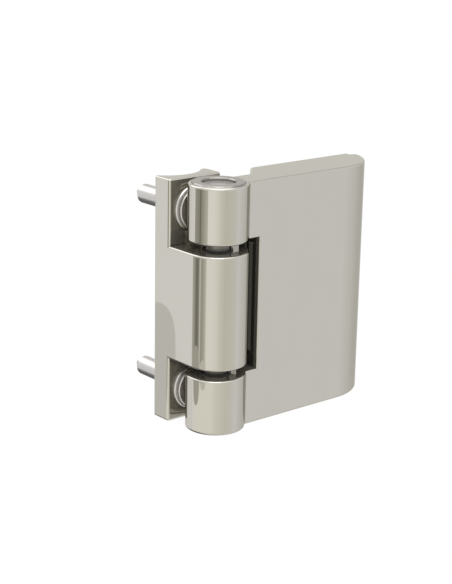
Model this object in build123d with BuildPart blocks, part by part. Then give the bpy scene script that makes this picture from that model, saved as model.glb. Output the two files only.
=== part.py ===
from build123d import *
import os
from math import radians, sqrt, tan

# Shutter hinge: a frame leaf with a middle barrel, a sash leaf with two knuckles, and a pin through them.
# All sizes are in millimetres.
# The origin is midway between the two frame screws, on the back plane of the frame leaf.
# X runs along the sash leaf, Y goes back into the window frame, and Z goes up the pin.

# Heights along the pin
HINGE_HEIGHT = 75.0
KNUCKLE_HEIGHT = 17.1
KNUCKLE_GAP = 3.0

# Round parts about the pin
KNUCKLE_RADIUS = 9.0
BARREL_RADIUS = 9.35
PIN_RADIUS = 4.0

# Fits, each measured on the radius
RUNNING_CLEARANCE = 0.04
FIXED_CLEARANCE = 0.02
THREAD_CLEARANCE = 0.05

# Frame leaf, with the reach of its two sides from the frame screws
PLATE_LEFT = 9.3
PLATE_RIGHT = 10.1
PLATE_THICKNESS = 7.35
POCKET_CLEARANCE = 2.1
NECK_SIDE_REACH = 6.5
GROOVE_DEPTH = 3.7
BACK_LAND = 1.3
BACK_CORNER_RADIUS = 0.9

# Sash leaf, measured from the pin's axis, with a raised pad along its back
LEAF_FRONT = 5.2
LEAF_THICKNESS = 14.7
WEB_BACK = 4.25
WINDOW_CLEARANCE = 2.4
SHOULDER_START = 15.5
SHOULDER_ANGLE = 48.5
END_START = 46.6
END_FRONT_RADIUS = 18.5
END_BACK_RADIUS = 1.7
CREASE_RADIUS = 1.3
SHOULDER_FILLET = 0.8
PAD_HEIGHT = 2.0
PAD_REACH = 62.3
PAD_CORNER_RADIUS = 1.8

# Tapped holes in the pad
SASH_HOLE_REACH = 40.0
SASH_HOLE_END_DISTANCE = 12.5
SASH_HOLE_RADIUS = 2.5
SASH_HOLE_DEPTH = 12.0

# Softened edges, and how close two lengths are that count as the same
EDGE_FILLET = 0.5
PLATE_EDGE_FILLET = 0.75
RIM_FILLET = 0.7
SMALL_EDGE = 0.3
TOLERANCE = 0.001

# End plugs
PLUG_DISC_RADIUS = 8.0
PLUG_SEAT_DEPTH = 2.0
PLUG_SEAT_CLEARANCE = 0.1
PLUG_STAND = 0.4
PLUG_BOSS_RADIUS = 6.0
PLUG_BOSS_LENGTH = 3.5
PLUG_DIMPLE_RADIUS = 5.0
PLUG_DIMPLE_DEPTH = 1.0
PLUG_MOUTH_CHAMFER = 0.35
PLUG_RIM_CHAMFER = 0.4

# Bushes, wear discs and the rings at the barrel's ends
BUSH_RADIUS = 4.6
BUSH_LENGTH = 10.0
BUSH_STAND = 0.4
DISC_THICKNESS = 1.0
RING_RADIUS = 4.6
RING_THICKNESS = 0.4

# Frame screws
SCREW_END_DISTANCE = 9.6
SCREW_RADIUS = 3.0
SCREW_LENGTH = 28.5
SCREW_NECK_RADIUS = 2.6
SCREW_NECK_LENGTH = 5.4
SCREW_POINT_ANGLE = 70.0
HEAD_RADIUS = 6.45
HEAD_HEIGHT = 1.8
HEAD_CHAMFER = 0.3
FLANGE_RADIUS = 7.0
FLANGE_THICKNESS = 0.4
HEAD_SOCKET_FLATS = 4.0
HEAD_SOCKET_DEPTH = 1.2
HEAD_KNURLS = 90
KNURL_RADIUS = 0.12
SCREW_HOLE_CLEARANCE = 0.2

# Set screw that holds the pin
GRUB_RADIUS = 2.5
GRUB_LENGTH = 8.0
GRUB_SOCKET_FLATS = 2.5
GRUB_SOCKET_DEPTH = 2.5
PIN_FLAT_DEPTH = 0.5
PIN_FLAT_MARGIN = 0.5
PIN_END_CHAMFER = 0.5

# Places worked out from the sizes above
half_height = HINGE_HEIGHT / 2
screw_height = half_height - SCREW_END_DISTANCE
sash_hole_height = half_height - SASH_HOLE_END_DISTANCE
knuckle_inner_z = half_height - KNUCKLE_HEIGHT
barrel_half_height = knuckle_inner_z - KNUCKLE_GAP
pin_x = BARREL_RADIUS - PLATE_LEFT
pin_y = -(PLATE_THICKNESS + POCKET_CLEARANCE + KNUCKLE_RADIUS)
leaf_back = LEAF_THICKNESS - LEAF_FRONT
pad_back = leaf_back + PAD_HEIGHT
end_corner = END_START + sqrt(END_FRONT_RADIUS ** 2 - (END_FRONT_RADIUS - LEAF_THICKNESS) ** 2)
window_reach = BARREL_RADIUS + WINDOW_CLEARANCE
plug_bottom = PLUG_SEAT_DEPTH + PLUG_BOSS_LENGTH
pin_end = plug_bottom + DISC_THICKNESS
knuckle_bore_radius = PLUG_BOSS_RADIUS + FIXED_CLEARANCE
pin_flat_y = pin_y + PIN_RADIUS - PIN_FLAT_DEPTH


def shoulder_reach(behind):
    """How far the slanted shoulder lies from the pin, at a distance behind the pin's axis."""
    return SHOULDER_START + (behind - WEB_BACK) / tan(radians(SHOULDER_ANGLE))


def pin_plane(z):
    """The level plane at height z with its origin on the pin's axis."""
    return Plane((pin_x, pin_y, z))


def end_plane(side, depth=0.0):
    """The plane across the pin at a depth inside one end face, looking out of that end."""
    height = side * (half_height - depth)
    return Plane((pin_x, pin_y, height), x_dir=(1, 0, 0), z_dir=(0, 0, side))


def screw_plane(side):
    """The front of the plate at one frame screw, looking out towards the knuckle."""
    return Plane((0, -PLATE_THICKNESS, side * screw_height), x_dir=(1, 0, 0), z_dir=(0, -1, 0))


def sash_hole_plane(side):
    """The back of the pad at one fixing hole, looking out of it."""
    return Plane((pin_x + SASH_HOLE_REACH, pin_y + pad_back, side * sash_hole_height), z_dir=(0, 1, 0))


def edges_at_level(block, level):
    """Every edge that lies in the plane at a level above or below the middle."""
    def lies_flat(edge):
        box = edge.bounding_box()
        return abs(abs(box.min.Z) - level) < TOLERANCE and abs(box.max.Z - box.min.Z) < TOLERANCE
    return block.edges().filter_by(lies_flat)


def on_knuckle(corner):
    """True for a corner of the plan where the knuckle's circle meets the web."""
    return abs(sqrt(corner.X ** 2 + corner.Y ** 2) - KNUCKLE_RADIUS) < TOLERANCE


def near_reach(reach):
    """A test for corners of the plan that lie at a distance along X from the pin."""
    return lambda corner: abs(corner.X - reach) < TOLERANCE


def on_window_front(edge):
    """True for the front edges of the window, which catch the light."""
    box = edge.bounding_box()
    in_front = abs(box.max.Y - (pin_y - LEAF_FRONT)) < TOLERANCE and abs(box.min.Y - box.max.Y) < TOLERANCE
    beside = abs(box.min.X - pin_x - window_reach) < TOLERANCE and abs(box.max.X - box.min.X) < TOLERANCE
    return in_front and beside


def on_inner_rim(edge):
    """True for an edge round a knuckle's inner face, but not where that face meets the slab."""
    return edge.bounding_box().min.X < pin_x + window_reach - TOLERANCE


def save(block, name):
    """Label a finished piece and write its file."""
    block.part.label = name
    export_step(block.part, f"parts/{name}.step")


os.makedirs("parts", exist_ok=True)
ENDS = (("upper", 1), ("lower", -1))

# Frame leaf: a barrel on a neck, grown out of the middle of a hollow-backed plate
with BuildPart() as frame_leaf:
    with BuildSketch(Plane.XY.offset(-barrel_half_height)):
        neck_depth = -PLATE_THICKNESS - pin_y + PLATE_EDGE_FILLET
        neck_width = BARREL_RADIUS + NECK_SIDE_REACH
        with Locations((pin_x - BARREL_RADIUS + neck_width / 2, pin_y + neck_depth / 2)):
            Rectangle(neck_width, neck_depth)
        with Locations((pin_x, pin_y)):
            Circle(BARREL_RADIUS)
    extrude(amount=2 * barrel_half_height)
    rims = edges_at_level(frame_leaf, barrel_half_height)
    fillet(rims.sort_by(lambda edge: edge.center().Y)[:-2], RIM_FILLET)
    with BuildSketch(Plane.XY.offset(-half_height)) as plate_plan:
        groove_side = PLATE_LEFT - BACK_LAND
        with BuildLine():
            Polyline((groove_side, 0), (PLATE_RIGHT, 0), (PLATE_RIGHT, -PLATE_THICKNESS),
                     (-PLATE_LEFT, -PLATE_THICKNESS), (-PLATE_LEFT, 0), (-groove_side, 0))
            ThreePointArc((-groove_side, 0), (0, -GROOVE_DEPTH), (groove_side, 0))
        make_face()
        back_corners = plate_plan.vertices().group_by(Axis.Y)[-1].sort_by(Axis.X)
        fillet((back_corners[0], back_corners[-1]), BACK_CORNER_RADIUS)
        fillet(plate_plan.vertices().group_by(Axis.Y)[0], PLATE_EDGE_FILLET)
    extrude(amount=HINGE_HEIGHT)
    fillet(edges_at_level(frame_leaf, half_height), EDGE_FILLET)
    with Locations(pin_plane(0)):
        Cylinder(PIN_RADIUS + FIXED_CLEARANCE, HINGE_HEIGHT, mode=Mode.SUBTRACT)
    for name, side in ENDS:
        with Locations(screw_plane(side)):
            Hole(SCREW_RADIUS + SCREW_HOLE_CLEARANCE)
    with BuildSketch(Plane((pin_x, pin_y, 0), x_dir=(1, 0, 0), z_dir=(0, 1, 0))):
        Circle(GRUB_RADIUS + THREAD_CLEARANCE)
    extrude(amount=-pin_y, mode=Mode.SUBTRACT)
save(frame_leaf, "frame_leaf")

# Sash leaf: one casting of a rounded slab, a thin web and two knuckles
with BuildPart() as sash_leaf:
    with BuildSketch(pin_plane(-half_height)) as leaf_plan:
        with BuildLine():
            Polyline((end_corner, leaf_back), (PAD_REACH, leaf_back), (PAD_REACH, pad_back),
                     (shoulder_reach(pad_back), pad_back), (SHOULDER_START, WEB_BACK),
                     (0, WEB_BACK), (0, -LEAF_FRONT), (END_START, -LEAF_FRONT))
            RadiusArc((END_START, -LEAF_FRONT), (end_corner, leaf_back), -END_FRONT_RADIUS)
        make_face()
        fillet(leaf_plan.vertices().sort_by(Axis.X)[-1], END_BACK_RADIUS)
        fillet(leaf_plan.vertices().filter_by(near_reach(shoulder_reach(pad_back))), PAD_CORNER_RADIUS)
        fillet(leaf_plan.vertices().filter_by(near_reach(SHOULDER_START)), SHOULDER_FILLET)
        Circle(KNUCKLE_RADIUS)
        fillet(leaf_plan.vertices().filter_by(on_knuckle), CREASE_RADIUS)
    extrude(amount=HINGE_HEIGHT)
    with BuildSketch(pin_plane(-knuckle_inner_z)):
        Rectangle(2 * window_reach, 2 * window_reach)
    extrude(amount=2 * knuckle_inner_z, mode=Mode.SUBTRACT)
    fillet(edges_at_level(sash_leaf, half_height), RIM_FILLET)
    fillet(edges_at_level(sash_leaf, knuckle_inner_z).filter_by(on_inner_rim), RIM_FILLET)
    fillet(sash_leaf.edges().filter_by(on_window_front), SMALL_EDGE)
    with Locations(pin_plane(0)):
        Cylinder(BUSH_RADIUS + FIXED_CLEARANCE, HINGE_HEIGHT, mode=Mode.SUBTRACT)
    for name, side in ENDS:
        with Locations(end_plane(side, pin_end / 2)):
            Cylinder(knuckle_bore_radius, pin_end, mode=Mode.SUBTRACT)
        with Locations(end_plane(side, PLUG_SEAT_DEPTH / 2)):
            Cylinder(PLUG_DISC_RADIUS + PLUG_SEAT_CLEARANCE, PLUG_SEAT_DEPTH, mode=Mode.SUBTRACT)
    for name, side in ENDS:
        with Locations(sash_hole_plane(side)):
            Hole(SASH_HOLE_RADIUS, SASH_HOLE_DEPTH)
save(sash_leaf, "sash_leaf")

# Pin, with a flat for its set screw
with BuildPart() as hinge_pin:
    with Locations(pin_plane(0)):
        Cylinder(PIN_RADIUS, 2 * (half_height - pin_end))
    chamfer(hinge_pin.edges().filter_by(GeomType.CIRCLE), PIN_END_CHAMFER)
    with BuildSketch(Plane((pin_x, pin_flat_y, 0), x_dir=(1, 0, 0), z_dir=(0, 1, 0))):
        Rectangle(2 * PIN_RADIUS, 2 * (GRUB_RADIUS + PIN_FLAT_MARGIN))
    extrude(amount=PIN_RADIUS, mode=Mode.SUBTRACT)
save(hinge_pin, "hinge_pin")

# Set screw, tapped in from the hollow back until it bears on the pin's flat
with BuildPart() as pin_grub_screw:
    with BuildSketch(Plane((pin_x, pin_flat_y, 0), x_dir=(1, 0, 0), z_dir=(0, 1, 0))):
        Circle(GRUB_RADIUS)
    extrude(amount=GRUB_LENGTH)
    chamfer(pin_grub_screw.edges().filter_by(GeomType.CIRCLE), SMALL_EDGE)
    with BuildSketch(Plane((pin_x, pin_flat_y + GRUB_LENGTH, 0), x_dir=(1, 0, 0), z_dir=(0, 1, 0))):
        RegularPolygon(GRUB_SOCKET_FLATS / 2, 6, major_radius=False)
    extrude(amount=-GRUB_SOCKET_DEPTH, mode=Mode.SUBTRACT)
save(pin_grub_screw, "pin_grub_screw")

# The pieces that come once at each end
for end, side in ENDS:
    # End plug: a disc that stands out a little, with a shallow round dimple, over a plain boss
    with BuildPart() as plug:
        with BuildSketch(end_plane(side, -PLUG_STAND)):
            Circle(PLUG_DISC_RADIUS)
        extrude(amount=-PLUG_STAND - PLUG_SEAT_DEPTH)
        rims = plug.edges().filter_by(GeomType.CIRCLE).sort_by(Axis.Z)
        chamfer(rims[-1 if side > 0 else 0], PLUG_RIM_CHAMFER)
        with BuildSketch(end_plane(side, PLUG_SEAT_DEPTH)):
            Circle(PLUG_BOSS_RADIUS)
        extrude(amount=-PLUG_BOSS_LENGTH)
        with BuildSketch(end_plane(side, -PLUG_STAND)):
            Circle(PLUG_DIMPLE_RADIUS)
        extrude(amount=-PLUG_DIMPLE_DEPTH, mode=Mode.SUBTRACT)
        end_edges = plug.edges().group_by(Axis.Z)[-1 if side > 0 else 0]
        chamfer(end_edges.sort_by(SortBy.RADIUS)[0], PLUG_MOUTH_CHAMFER)
    save(plug, f"{end}_plug")

    # Wear disc: it lies between the plug and the pin's end
    with BuildPart() as thrust_disc:
        with BuildSketch(end_plane(side, plug_bottom)):
            Circle(PLUG_BOSS_RADIUS)
        extrude(amount=-DISC_THICKNESS)
    save(thrust_disc, f"{end}_thrust_disc")

    # Bush: a sleeve pushed into the knuckle from the gap, where its end stands out a little
    with BuildPart() as bush:
        with BuildSketch(end_plane(side, KNUCKLE_HEIGHT + BUSH_STAND)):
            Circle(BUSH_RADIUS)
            Circle(PIN_RADIUS + RUNNING_CLEARANCE, mode=Mode.SUBTRACT)
        extrude(amount=BUSH_LENGTH + BUSH_STAND)
    save(bush, f"{end}_bush")

    # Ring: it lies round the pin on the barrel's end
    with BuildPart() as barrel_ring:
        with BuildSketch(pin_plane(side * barrel_half_height)):
            Circle(RING_RADIUS)
            Circle(PIN_RADIUS + RUNNING_CLEARANCE, mode=Mode.SUBTRACT)
        extrude(amount=side * RING_THICKNESS)
    save(barrel_ring, f"{end}_pin_ring")

    # Frame screw: a low knurled head on a flange, a thin neck through the plate, a plain shank and a cone point
    with BuildPart() as frame_screw:
        head_plane = screw_plane(side)
        knurl_plane = head_plane.offset(FLANGE_THICKNESS)
        with BuildSketch(head_plane):
            Circle(FLANGE_RADIUS)
        extrude(amount=FLANGE_THICKNESS)
        with BuildSketch(knurl_plane):
            Circle(HEAD_RADIUS)
        extrude(amount=HEAD_HEIGHT - FLANGE_THICKNESS)
        rims = frame_screw.edges().filter_by(GeomType.CIRCLE).sort_by(Axis.Y)
        flange_rims = rims.sort_by(SortBy.RADIUS)[-2:]
        chamfer((rims[0], flange_rims.sort_by(Axis.Y)[0]), HEAD_CHAMFER)
        with BuildSketch(knurl_plane):
            with PolarLocations(HEAD_RADIUS, HEAD_KNURLS):
                Circle(KNURL_RADIUS)
        extrude(amount=HEAD_HEIGHT - FLANGE_THICKNESS, mode=Mode.SUBTRACT)
        with BuildSketch(head_plane.offset(HEAD_HEIGHT)):
            RegularPolygon(HEAD_SOCKET_FLATS / 2, 6, major_radius=False)
        extrude(amount=-HEAD_SOCKET_DEPTH, mode=Mode.SUBTRACT)
        point_length = SCREW_RADIUS / tan(radians(SCREW_POINT_ANGLE / 2))
        with BuildSketch(head_plane):
            Circle(SCREW_NECK_RADIUS)
        extrude(amount=-SCREW_NECK_LENGTH)
        with BuildSketch(head_plane.offset(-SCREW_NECK_LENGTH)):
            Circle(SCREW_RADIUS)
        extrude(amount=-(SCREW_LENGTH - SCREW_NECK_LENGTH - point_length))
        cone_centre = head_plane.offset(-(SCREW_LENGTH - point_length / 2))
        with Locations(Plane(cone_centre.origin, z_dir=(0, 1, 0))):
            Cone(SCREW_RADIUS, 0, point_length)
    save(frame_screw, f"{end}_frame_screw")
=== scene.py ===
"""Looks of the shutter hinge: its plated, satin and moulded finishes, the studio around it and the camera."""

import logging
import math
from dataclasses import dataclass, field
from enum import Enum

import bpy
from mathutils import Matrix, Vector


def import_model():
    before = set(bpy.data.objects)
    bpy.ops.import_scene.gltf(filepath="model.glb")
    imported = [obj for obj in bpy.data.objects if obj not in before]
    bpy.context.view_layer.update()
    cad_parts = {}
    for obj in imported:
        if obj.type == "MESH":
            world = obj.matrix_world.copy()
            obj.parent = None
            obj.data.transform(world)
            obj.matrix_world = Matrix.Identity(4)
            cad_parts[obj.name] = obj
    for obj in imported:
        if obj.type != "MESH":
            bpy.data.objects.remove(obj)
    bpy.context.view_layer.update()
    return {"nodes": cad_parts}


log = logging.getLogger("shutter_hinge")

Colour = tuple[float, float, float]
Point = tuple[float, float, float]
Stop = tuple[float, Colour]

HALF_TURN = 180.0
FULL_TURN = 360.0
DEGREES_PER_RADIAN = HALF_TURN / math.pi


class Ray(Enum):
    """The Light Path outputs that the studio's white background and its reflections use."""

    CAMERA = "Is Camera Ray"
    GLOSSY = "Is Glossy Ray"
    TRANSMISSION = "Is Transmission Ray"


class NodeBench:
    """A short way to add and join the nodes of one node tree.

    A Mix node has sockets for each kind of data. The mix_ numbers are those of the ones for colours.
    """

    mix_share = 0
    mix_low = 6
    mix_high = 7
    mix_result = 2

    def __init__(self, tree: bpy.types.NodeTree) -> None:
        """Start from an empty tree."""
        self.tree = tree
        tree.nodes.clear()

    def add(self, kind: str, **settings: object) -> bpy.types.Node:
        """Add a node.

        Args:
            kind: the node's Blender type, without the word ShaderNode.
            settings: properties of the node, by name.

        Returns:
            The new node.
        """
        node = self.tree.nodes.new("ShaderNode" + kind)
        for name, value in settings.items():
            setattr(node, name, value)
        return node

    def join(self, source: bpy.types.NodeSocket, target: bpy.types.NodeSocket) -> None:
        """Join an output to an input."""
        self.tree.links.new(source, target)

    def math(self, operation: str, *values: object) -> bpy.types.NodeSocket:
        """Add a Math node.

        Args:
            operation: the node's operation.
            values: its inputs in order, each a number or another node's output.

        Returns:
            The node's output.
        """
        node = self.add("Math", operation=operation)
        for socket, value in zip(node.inputs, values):
            if isinstance(value, bpy.types.NodeSocket):
                self.join(value, socket)
            else:
                socket.default_value = value
        return node.outputs[0]

    def ramp(self, source: bpy.types.NodeSocket, stops: tuple[Stop, ...]) -> bpy.types.NodeSocket:
        """Add a Color Ramp.

        Args:
            source: what drives it, from 0 to 1.
            stops: a position and a colour each, in rising order.

        Returns:
            The colour output.
        """
        node = self.add("ValToRGB")
        elements = node.color_ramp.elements
        elements[0].position, elements[1].position = stops[0][0], stops[-1][0]
        elements[0].color, elements[1].color = (*stops[0][1], 1.0), (*stops[-1][1], 1.0)
        for position, colour in stops[1:-1]:
            elements.new(position).color = (*colour, 1.0)
        self.join(source, node.inputs["Fac"])
        return node.outputs["Color"]

    def blend(self, share: bpy.types.NodeSocket, low: object, high: object) -> bpy.types.NodeSocket:
        """Mix two colours.

        Args:
            share: 0 gives low and 1 gives high.
            low: a colour, or an output that gives one.
            high: the same.

        Returns:
            The mixed colour.
        """
        node = self.add("Mix", data_type="RGBA")
        self.join(share, node.inputs[self.mix_share])
        for socket, value in ((node.inputs[self.mix_low], low), (node.inputs[self.mix_high], high)):
            if isinstance(value, bpy.types.NodeSocket):
                self.join(value, socket)
            else:
                socket.default_value = (*value, 1.0)
        return node.outputs[self.mix_result]

    def mix(
        self, share: bpy.types.NodeSocket, low: bpy.types.Node, high: bpy.types.Node
    ) -> bpy.types.Node:
        """Mix two shaders.

        Args:
            share: 0 gives low and 1 gives high.
            low: a node with a shader as its first output.
            high: the same.

        Returns:
            The node that mixes them.
        """
        node = self.add("MixShader")
        for source, socket in zip((share, low.outputs[0], high.outputs[0]), node.inputs):
            self.join(source, socket)
        return node

    def step(self, source: bpy.types.NodeSocket, start: float, end: float) -> bpy.types.NodeSocket:
        """Rise smoothly from 0 to 1 as the source goes from start to end."""
        node = self.add("MapRange", interpolation_type="SMOOTHSTEP")
        self.join(source, node.inputs["Value"])
        node.inputs["From Min"].default_value = start
        node.inputs["From Max"].default_value = end
        return node.outputs["Result"]


# The noise behind the marks in metal: how many octaves it has, and the part of its range that is used
MARK_DETAIL = 4.0
MARK_SPREAD = (0.3, 0.7)

# The noise behind the grain in plastic, how much lighter its tops are, and its relief as a share of its size
GRAIN_DETAIL = 3.0
GRAIN_LIGHTER = 1.25
GRAIN_RELIEF = 0.05


@dataclass(frozen=True)
class Recess:
    """A box round a surface that gets another colour and a lower metallic share there: painted shade in the
    leaves' pockets, gaps and window, and a matt floor in the plugs' dimple.

    Its corners are in metres. Their height counts both up and down from the middle, so one box stands for the
    two at the upper and the lower end. The change takes the soft length on each side of the box's walls.
    """

    low: Point
    high: Point
    colour: Colour
    soft: float = 0.0001

    def share(self, bench: NodeBench, place: tuple[bpy.types.NodeSocket, ...]) -> bpy.types.NodeSocket:
        """Find where the surface lies in the box.

        Args:
            bench: the material's nodes.
            place: the point's x, its y and its height above or below the middle.

        Returns:
            1 inside the box and 0 outside it.
        """
        inside: bpy.types.NodeSocket | None = None
        for value, low, high in zip(place, self.low, self.high):
            walls = bench.math(
                "MULTIPLY",
                bench.step(value, low - self.soft, low + self.soft),
                bench.step(value, high + self.soft, high - self.soft),
            )
            inside = walls if inside is None else bench.math("MULTIPLY", inside, walls)
        return inside


@dataclass(frozen=True)
class MetalFinish:
    """A metal surface: its colour, its gloss and the fine marks that its polish leaves.

    The gloss is the least and the most roughness, between which the marks vary, and the mark size is in
    metres. The tone shift is how much darker the marks are. Metal is the metallic share, outside the recesses
    and in them, and the rest of the surface is matt. The edge tint dims what is seen at a glancing angle.
    """

    name: str
    colour: Colour
    gloss: tuple[float, float]
    mark_size: float
    tone_shift: float
    metal: float = 1.0
    edge_tint: Colour = (0.75, 0.74, 0.71)
    recesses: tuple[Recess, ...] = ()
    recess_metal: float = 0.6

    def build(self) -> bpy.types.Material:
        """Make the material.

        Returns:
            A material whose marks read Object coordinates.
        """
        material = bpy.data.materials.new(self.name)
        material.use_nodes = True
        bench = NodeBench(material.node_tree)
        shader = bench.add("BsdfPrincipled")
        output = bench.add("OutputMaterial")
        bench.join(shader.outputs[0], output.inputs["Surface"])
        shader.inputs["Metallic"].default_value = self.metal
        shader.inputs["Specular Tint"].default_value = (*self.edge_tint, 1.0)
        place = bench.add("TexCoord").outputs["Object"]
        marks = bench.add("TexNoise")
        marks.inputs["Scale"].default_value = 1.0 / self.mark_size
        marks.inputs["Detail"].default_value = MARK_DETAIL
        bench.join(place, marks.inputs["Vector"])
        spread = bench.step(marks.outputs["Fac"], *MARK_SPREAD)
        rough = bench.math("MULTIPLY_ADD", spread, self.gloss[1] - self.gloss[0], self.gloss[0])
        dull = tuple(channel * (1 - self.tone_shift) for channel in self.colour)
        tint = bench.blend(spread, self.colour, dull)
        if self.recesses:
            tint, metal = self.sink(bench, place, tint)
            bench.join(metal, shader.inputs["Metallic"])
        bench.join(rough, shader.inputs["Roughness"])
        bench.join(tint, shader.inputs["Base Color"])
        return material

    def sink(
        self, bench: NodeBench, place: bpy.types.NodeSocket, tint: bpy.types.NodeSocket
    ) -> tuple[bpy.types.NodeSocket, bpy.types.NodeSocket]:
        """Change the colour and the metallic share in the recesses: painted shade in the leaves, a matt floor
        in the plugs' dimple.

        Args:
            bench: the material's nodes.
            place: the point in Object coordinates.
            tint: the colour outside the recesses.

        Returns:
            The colour everywhere, and how metallic the surface is.
        """
        split = bench.add("SeparateXYZ")
        bench.join(place, split.inputs[0])
        point = split.outputs["X"], split.outputs["Y"], bench.math("ABSOLUTE", split.outputs["Z"])
        metal: object = self.metal
        for recess in self.recesses:
            share = recess.share(bench, point)
            tint = bench.blend(share, tint, recess.colour)
            metal = bench.math("MULTIPLY_ADD", share, self.recess_metal - self.metal, metal)
        return tint, metal


@dataclass(frozen=True)
class MouldedFinish:
    """A moulded plastic surface with a fine grain. The grain's size is in metres."""

    name: str
    colour: Colour
    roughness: float
    grain: float

    def build(self) -> bpy.types.Material:
        """Make the material.

        Returns:
            A material whose grain reads Object coordinates.
        """
        material = bpy.data.materials.new(self.name)
        material.use_nodes = True
        bench = NodeBench(material.node_tree)
        shader = bench.add("BsdfPrincipled")
        output = bench.add("OutputMaterial")
        bench.join(shader.outputs[0], output.inputs["Surface"])
        shader.inputs["Roughness"].default_value = self.roughness
        grain = bench.add("TexNoise")
        grain.inputs["Scale"].default_value = 1.0 / self.grain
        grain.inputs["Detail"].default_value = GRAIN_DETAIL
        bench.join(bench.add("TexCoord").outputs["Object"], grain.inputs["Vector"])
        lighter = tuple(channel * GRAIN_LIGHTER for channel in self.colour)
        bench.join(bench.blend(grain.outputs["Fac"], self.colour, lighter), shader.inputs["Base Color"])
        bump = bench.add("Bump")
        bump.inputs["Distance"].default_value = self.grain * GRAIN_RELIEF
        bench.join(grain.outputs["Fac"], bump.inputs["Height"])
        bench.join(bump.outputs[0], shader.inputs["Normal"])
        return material


NICKEL = (0.52, 0.503, 0.462)
# Painted shade: darker colours for the leaves' pockets behind the screw heads, the ends that face the gaps,
# and the window's wall, which is less dark at its mouth
POCKET_PAINTED_SHADE = (0.32, 0.30, 0.25)
GAP_PAINTED_SHADE = (0.32, 0.30, 0.255)
WINDOW_PAINTED_SHADE = (0.085, 0.082, 0.07)
WINDOW_MOUTH_PAINTED_SHADE = (0.27, 0.255, 0.21)
DIMPLE_STEEL = (0.38, 0.366, 0.352)

# How softly a recess starts where its box is thin, in metres
THIN_BOX_SOFTNESS = 0.00002

# The frame leaf's painted shade: a darker, partly matt colour on the wall behind each screw's head and on the
# barrel's ends
FRAME_NICKEL = MetalFinish(
    "polished_nickel_frame", NICKEL, gloss=(0.004, 0.012), mark_size=0.012, tone_shift=0.01,
    recesses=(
        Recess((-0.0086, -0.0076, 0.0177), (0.0094, -0.0010, 0.0369), POCKET_PAINTED_SHADE),
        Recess((-0.0100, -0.0300, 0.01735), (0.0100, -0.0070, 0.01745), GAP_PAINTED_SHADE, THIN_BOX_SOFTNESS),
    ),
)

# The sash leaf's painted shade: a darker, partly matt colour on the window's wall, less dark at its mouth,
# and on the knuckles' inner ends
SASH_NICKEL = MetalFinish(
    "polished_nickel_sash", NICKEL, gloss=(0.004, 0.012), mark_size=0.012, tone_shift=0.01,
    recesses=(
        Recess((0.0115, -0.0234, -0.0010), (0.0121, -0.0221, 0.0204), WINDOW_MOUTH_PAINTED_SHADE),
        Recess((0.0115, -0.0221, -0.0010), (0.0121, -0.0010, 0.0204), WINDOW_PAINTED_SHADE),
        Recess((-0.0100, -0.0300, 0.02035), (0.0118, -0.0070, 0.02045), GAP_PAINTED_SHADE, THIN_BOX_SOFTNESS),
    ),
)

# The plugs' recess: the floor of the dimple
SATIN_STEEL = MetalFinish(
    "satin_steel", (0.305, 0.29, 0.278), gloss=(0.13, 0.16), mark_size=0.004, tone_shift=0.02, metal=0.9,
    recesses=(
        Recess((-0.0060, -0.0245, 0.03685), (0.0060, -0.0125, 0.03695), DIMPLE_STEEL, THIN_BOX_SOFTNESS),
    ),
    recess_metal=0.1,
)

DARK_STEEL = MetalFinish(
    "dark_steel", (0.20, 0.19, 0.18), gloss=(0.20, 0.28), mark_size=0.002, tone_shift=0.03
)
BRIGHT_STEEL = MetalFinish(
    "bright_steel", (0.60, 0.585, 0.575), gloss=(0.28, 0.32), mark_size=0.004, tone_shift=0.02
)
DARK_POLYMER = MouldedFinish("dark_polymer", (0.03, 0.03, 0.03), 0.42, 0.0004)
GREY_POLYMER = MouldedFinish("grey_polymer", (0.42, 0.41, 0.39), 0.5, 0.0004)


@dataclass
class Dressing:
    """Gives each CAD piece that stays in view its finish."""

    finishes: dict[str, MetalFinish | MouldedFinish] = field(
        default_factory=lambda: {
            "frame_leaf": FRAME_NICKEL,
            "sash_leaf": SASH_NICKEL,
            "hinge_pin": DARK_STEEL,
            "pin_grub_screw": BRIGHT_STEEL,
            "upper_plug": SATIN_STEEL,
            "lower_plug": SATIN_STEEL,
            "upper_thrust_disc": GREY_POLYMER,
            "lower_thrust_disc": GREY_POLYMER,
            "upper_bush": DARK_POLYMER,
            "lower_bush": DARK_POLYMER,
            "upper_pin_ring": DARK_POLYMER,
            "lower_pin_ring": DARK_POLYMER,
            "upper_frame_screw": BRIGHT_STEEL,
            "lower_frame_screw": BRIGHT_STEEL,
        }
    )

    def dress(self, nodes: dict[str, bpy.types.Object]) -> None:
        """Put the finishes on the CAD nodes.

        Args:
            nodes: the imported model's nodes by name.
        """
        made: dict[str, bpy.types.Material] = {}
        for name, finish in self.finishes.items():
            if finish.name not in made:
                made[finish.name] = finish.build()
            mesh = nodes[name].data
            mesh.materials.clear()
            mesh.materials.append(made[finish.name])
            log.info("%s: %s", name, finish.name)


class Glow:
    """A light grey that may be a little warm.

    Its warmth is the share of blue that it lacks, and it lacks a small part of that share of green too.
    """

    light: float
    warmth: float
    green_part = 0.125

    @property
    def colour(self) -> Colour:
        """The glow as a colour."""
        return self.light, self.light * (1 - self.warmth * self.green_part), self.light * (1 - self.warmth)


@dataclass(frozen=True)
class Tone(Glow):
    """A tone on the room's wall. Its turn is in degrees from +X towards +Y."""

    turn: float
    light: float
    warmth: float = 0.0


@dataclass(frozen=True)
class Band:
    """A level band of the room, from its rise upwards. Its lower edge is soft over an angle each way.

    Both angles are in degrees.
    """

    rise: float
    edge: float
    tones: tuple[Tone, ...]

    def stops(self) -> tuple[Stop, ...]:
        """The tones as the stops of a ramp that runs once round the room."""
        return tuple(((tone.turn + HALF_TURN) / FULL_TURN, tone.colour) for tone in self.tones)


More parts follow.
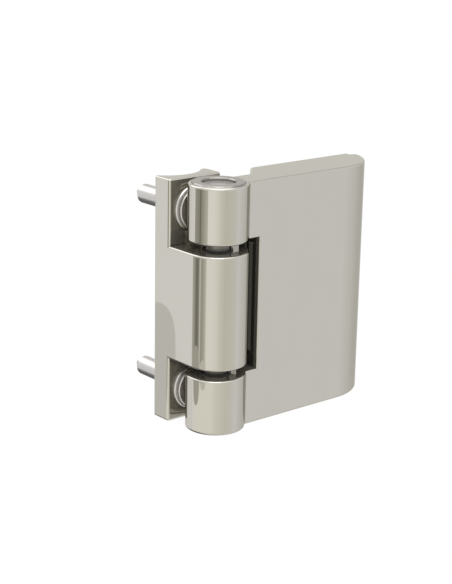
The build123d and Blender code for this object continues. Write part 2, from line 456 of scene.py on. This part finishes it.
@dataclass(frozen=True)
class Card(Glow):
    """A nearly oval card in the room, with its middle at turn and rise. Its angles are in degrees.

    A card that hangs goes straight down from its middle. The squareness is the power of its outline: 2 is an
    ellipse, and a higher one fills the corners. The outline is soft between the two ends of its edge.
    """

    turn: float
    rise: float
    half_width: float
    half_height: float
    light: float
    warmth: float
    hangs: bool = False
    squareness = 2.6
    edge = (1.05, 0.95)


@dataclass(frozen=True)
class Softbox(Glow):
    """A round light in the room, full as far as its core and gone at its rim. Its angles are in degrees."""

    turn: float
    rise: float
    core: float
    rim: float
    light: float
    warmth: float


# The room's bands from the floor up, with the tones that the photograph's polished faces reflect
FLOOR_BAND = Band(-90.0, 0.0, (
    Tone(-180, 0.95, 0.05), Tone(0, 0.95, 0.05), Tone(35, 0.5), Tone(60, 0.2), Tone(140, 0.2),
    Tone(165, 0.6), Tone(180, 0.95, 0.05),
))
TABLE_BAND = Band(-26.0, 3.0, (
    Tone(-180, 1.17, 0.10), Tone(-145, 1.17, 0.09), Tone(-137, 1.09, 0.09), Tone(-114, 1.0, 0.09),
    Tone(-91, 0.93, 0.10), Tone(-60, 0.95, 0.04), Tone(-51, 1.0), Tone(-44, 1.0), Tone(-30, 0.93, 0.01),
    Tone(-9, 0.87, 0.02), Tone(20, 0.82, 0.02), Tone(45, 0.85), Tone(90, 1.07), Tone(127, 1.11),
    Tone(140, 1.13, 0.03), Tone(150, 1.15, 0.08), Tone(180, 1.17, 0.10),
))
CAMERA_SIDE = (
    Tone(-130, 1.12, 0.08), Tone(-116, 0.98, 0.09), Tone(-101, 0.89, 0.12), Tone(-85, 0.90, 0.11),
    Tone(-60, 0.93, 0.05), Tone(-51, 1.0), Tone(-44, 1.0), Tone(-35, 0.95, 0.01), Tone(-18, 0.90, 0.02),
    Tone(-3, 0.83, 0.03), Tone(20, 0.80, 0.03),
)
WINDOW_BAND = Band(-19.3, 0.12, (
    Tone(-180, 0.62, 0.15), Tone(-177, 0.68, 0.15), Tone(-172, 0.82, 0.13), Tone(-169, 1.0, 0.11),
    Tone(-166.5, 1.20, 0.07), Tone(-145, 1.20, 0.07), *CAMERA_SIDE, Tone(78, 0.98), Tone(120, 1.11),
    Tone(134, 1.15), Tone(136, 0.62, 0.12), Tone(141, 0.56, 0.13), Tone(147, 0.38, 0.15),
    Tone(151, 0.27, 0.17), Tone(157, 0.30, 0.16), Tone(162, 0.45, 0.15), Tone(165, 0.86, 0.12),
    Tone(168.5, 0.86, 0.12), Tone(170.5, 0.50, 0.16), Tone(180, 0.62, 0.15),
))
WALL_BAND = Band(-14.7, 0.3, (
    Tone(-180, 0.66, 0.16), Tone(-172, 0.76, 0.14), Tone(-168.6, 0.80, 0.13), Tone(-167, 1.23, 0.07),
    Tone(-145, 1.22, 0.07), *CAMERA_SIDE, Tone(78, 0.98), Tone(90, 1.07), Tone(120, 1.11),
    Tone(134.5, 1.15), Tone(136, 0.55, 0.13), Tone(145, 0.49, 0.14), Tone(154.5, 0.43, 0.15),
    Tone(158.5, 0.40, 0.16), Tone(160, 0.27, 0.20), Tone(163.5, 0.27, 0.20), Tone(165, 0.46, 0.19),
    Tone(172, 0.52, 0.18), Tone(180, 0.66, 0.16),
))
CEILING_BAND = Band(3.0, 4.0, (
    Tone(-180, 1.06, 0.02), Tone(0, 1.0), Tone(44, 1.06, 0.02), Tone(50, 1.07, 0.02), Tone(51.8, 1.1, 0.02),
    Tone(53.5, 1.24, 0.01), Tone(60, 1.2), Tone(90, 1.1), Tone(140, 1.0), Tone(180, 1.06, 0.02),
))
UPPER_BAND = Band(20.0, 4.0, (
    Tone(-180, 1.06, 0.02), Tone(0, 1.0), Tone(40, 0.7), Tone(65, 0.8), Tone(85, 1.0), Tone(180, 1.06, 0.02),
))


@dataclass(frozen=True)
class Lamp:
    """A square soft lamp that points at the hinge. Its place and size are in metres, its power in watts."""

    name: str
    place: Point
    size: float
    power: float


@dataclass
class Studio:
    """The pale floor, the room that the metal reflects and the soft lamps.

    Lengths are in metres. What the camera sees of the floor is in one share a white that it gives off, and in
    the rest paper, which keeps a soft shadow. The room light is what matt surfaces get from the room.
    """

    floor_height: float = -0.0375
    floor_size: float = 6.0
    floor_paper: float = 0.9
    floor_white: float = 1.04
    floor_white_share: float = 0.9
    room_light: float = 0.8
    bands: tuple[Band, ...] = (FLOOR_BAND, TABLE_BAND, WINDOW_BAND, WALL_BAND, CEILING_BAND, UPPER_BAND)
    cards: tuple[Card, ...] = (
        Card(127.2, -18.4, 0.91, 1.82, 0.885, 0.02, hangs=True),
        Card(151.0, -19.4, 14.5, 1.15, 0.60, 0.13),
        Card(181.0, -19.4, 12.0, 0.58, 0.85, 0.12),
    )
    softboxes: tuple[Softbox, ...] = (
        Softbox(-130.0, 80.0, 26.0, 44.0, 2.0, 0.04),
        Softbox(104.0, 39.0, 12.0, 26.0, 2.4, 0.0),
    )
    lamps: tuple[Lamp, ...] = (
        Lamp("key_lamp", (-0.24, -0.30, 0.70), 0.45, 1.1),
        Lamp("back_lamp", (0.35, 0.40, 0.65), 0.35, 0.5),
    )

    def build(self) -> None:
        """Make the whole studio."""
        self.lay_floor()
        self.paint_room()
        self.hang_lamps()

    def lay_floor(self) -> None:
        """Lay a plain pale floor that shows white and keeps a soft shadow."""
        bpy.ops.object.select_all(action="DESELECT")
        bpy.ops.mesh.primitive_plane_add(size=self.floor_size, location=(0, 0, self.floor_height))
        floor = bpy.context.object
        floor.name = "studio_floor"
        bpy.ops.object.transform_apply(location=True)
        floor.visible_glossy = False
        material = bpy.data.materials.new("pale_floor")
        material.use_nodes = True
        bench = NodeBench(material.node_tree)
        paper = bench.add("BsdfDiffuse")
        paper.inputs["Color"].default_value = (*(self.floor_paper,) * 3, 1.0)
        white = bench.add("Emission")
        white.inputs["Strength"].default_value = self.floor_white
        output = bench.add("OutputMaterial")
        seen = bench.add("LightPath").outputs[Ray.CAMERA.value]
        shown = bench.mix(bench.math("MULTIPLY", seen, self.floor_white_share), paper, white)
        bench.join(shown.outputs[0], output.inputs["Surface"])
        floor.data.materials.append(material)
        log.info("floor laid at %.4f m", self.floor_height)

    def paint_room(self) -> None:
        """Paint the world: white to the camera, plain to matt surfaces, and a room with tones to gloss."""
        world = bpy.data.worlds.new("studio_room")
        bpy.context.scene.world = world
        world.use_nodes = True
        bench = NodeBench(world.node_tree)
        way = bench.add("TexCoord").outputs["Generated"]
        split = bench.add("SeparateXYZ")
        bench.join(way, split.inputs[0])
        turn = bench.math("ARCTAN2", split.outputs["Y"], split.outputs["X"])
        turn = bench.math("MULTIPLY", turn, DEGREES_PER_RADIAN)
        rise = bench.math("MULTIPLY", bench.math("ARCSINE", split.outputs["Z"]), DEGREES_PER_RADIAN)
        share = bench.math("DIVIDE", bench.math("ADD", turn, HALF_TURN), FULL_TURN)
        level = bench.ramp(share, self.bands[0].stops())
        for band in self.bands[1:]:
            above = bench.step(rise, band.rise - band.edge, band.rise + band.edge)
            level = bench.blend(above, level, bench.ramp(share, band.stops()))
        for card in self.cards:
            level = bench.blend(self.card_share(bench, card, turn, rise), level, card.colour)
        for softbox in self.softboxes:
            level = bench.blend(self.softbox_share(bench, softbox, way), level, softbox.colour)
        gloss = bench.add("Background")
        bench.join(level, gloss.inputs["Color"])
        plain = bench.add("Background")
        plain.inputs["Color"].default_value = (1.0, 1.0, 1.0, 1.0)
        plain.inputs["Strength"].default_value = self.room_light
        white = bench.add("Background")
        white.inputs["Color"].default_value = (1.0, 1.0, 1.0, 1.0)
        path = bench.add("LightPath")
        reflected = bench.mix(path.outputs[Ray.GLOSSY.value], plain, gloss)
        seen = bench.math("MAXIMUM", path.outputs[Ray.CAMERA.value], path.outputs[Ray.TRANSMISSION.value])
        output = bench.add("OutputWorld")
        bench.join(bench.mix(seen, reflected, white).outputs[0], output.inputs["Surface"])

    @staticmethod
    def card_share(
        bench: NodeBench, card: Card, turn: bpy.types.NodeSocket, rise: bpy.types.NodeSocket
    ) -> bpy.types.NodeSocket:
        """Find where a card is seen.

        Args:
            bench: the world's nodes.
            card: the card.
            turn: the direction's angle round the pin, in degrees.
            rise: its angle above the level, in degrees.

        Returns:
            1 on the card and 0 beside it.
        """
        offset = bench.math("WRAP", bench.math("SUBTRACT", turn, card.turn), HALF_TURN, -HALF_TURN)
        across = bench.math("DIVIDE", bench.math("ABSOLUTE", offset), card.half_width)
        above = bench.math("DIVIDE", bench.math("SUBTRACT", rise, card.rise), card.half_height)
        above = bench.math("MAXIMUM", above, 0.0) if card.hangs else bench.math("ABSOLUTE", above)
        powers = [bench.math("POWER", share, card.squareness) for share in (across, above)]
        return bench.step(bench.math("ADD", *powers), *card.edge)

    @staticmethod
    def softbox_share(bench: NodeBench, softbox: Softbox, way: bpy.types.NodeSocket) -> bpy.types.NodeSocket:
        """Find where a softbox is seen.

        Args:
            bench: the world's nodes.
            softbox: the light.
            way: the direction looked in.

        Returns:
            1 inside its core and 0 outside its rim.
        """
        turn, rise = math.radians(softbox.turn), math.radians(softbox.rise)
        near = bench.add("VectorMath", operation="DOT_PRODUCT")
        bench.join(way, near.inputs[0])
        near.inputs[1].default_value = (
            math.cos(turn) * math.cos(rise), math.sin(turn) * math.cos(rise), math.sin(rise)
        )
        rim, core = math.cos(math.radians(softbox.rim)), math.cos(math.radians(softbox.core))
        return bench.step(near.outputs["Value"], rim, core)

    def hang_lamps(self) -> None:
        """Hang a large soft lamp over the camera's side and a smaller one behind."""
        for lamp in self.lamps:
            light = bpy.data.lights.new(lamp.name, "AREA")
            light.size = lamp.size
            light.energy = lamp.power
            holder = bpy.data.objects.new(lamp.name, light)
            holder.location = lamp.place
            holder.rotation_euler = (-Vector(lamp.place)).to_track_quat("-Z", "Y").to_euler()
            bpy.context.scene.collection.objects.link(holder)
            log.info("%s hung", lamp.name)


@dataclass
class PhotoCamera:
    """The photograph's viewpoint. Angles are in degrees, and lengths in metres where no unit is named."""

    azimuth: float = -40.125
    elevation: float = 16.164
    roll: float = 1.073
    distance: float = 0.43942
    target: Point = (0.00357, -0.01845, 0.00389)
    focal_pixels: float = 1481.55
    image_height: float = 584.0
    sensor_millimetres: float = 36.0
    clip: tuple[float, float] = (0.01, 20.0)

    def build(self) -> None:
        """Set up the camera and make it the scene's own."""
        turn, rise, lean = (math.radians(angle) for angle in (self.azimuth, self.elevation, self.roll))
        right = Vector((math.cos(turn), math.sin(turn), 0.0))
        up = Vector((-math.sin(turn) * math.sin(rise), math.cos(turn) * math.sin(rise), math.cos(rise)))
        back = right.cross(up)
        across = math.cos(lean) * right + math.sin(lean) * up
        upright = -math.sin(lean) * right + math.cos(lean) * up
        lens = bpy.data.cameras.new("photo_camera")
        lens.sensor_width = self.sensor_millimetres
        lens.lens = self.focal_pixels * self.sensor_millimetres / self.image_height
        lens.clip_start, lens.clip_end = self.clip
        camera = bpy.data.objects.new("photo_camera", lens)
        turned = Matrix((across, upright, back)).transposed().to_4x4()
        camera.matrix_world = Matrix.Translation(Vector(self.target) + back * self.distance) @ turned
        bpy.context.scene.collection.objects.link(camera)
        bpy.context.scene.camera = camera
        bpy.context.scene.view_settings.view_transform = "Standard"
        log.info("camera set, lens %.1f mm", lens.lens)


def main() -> None:
    """Load the frame, dress it and build the studio."""
    logging.basicConfig(level=logging.INFO, format="%(message)s")
    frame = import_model()
    Dressing().dress(frame["nodes"])
    Studio().build()
    PhotoCamera().build()


if __name__ == "__main__":
    main()
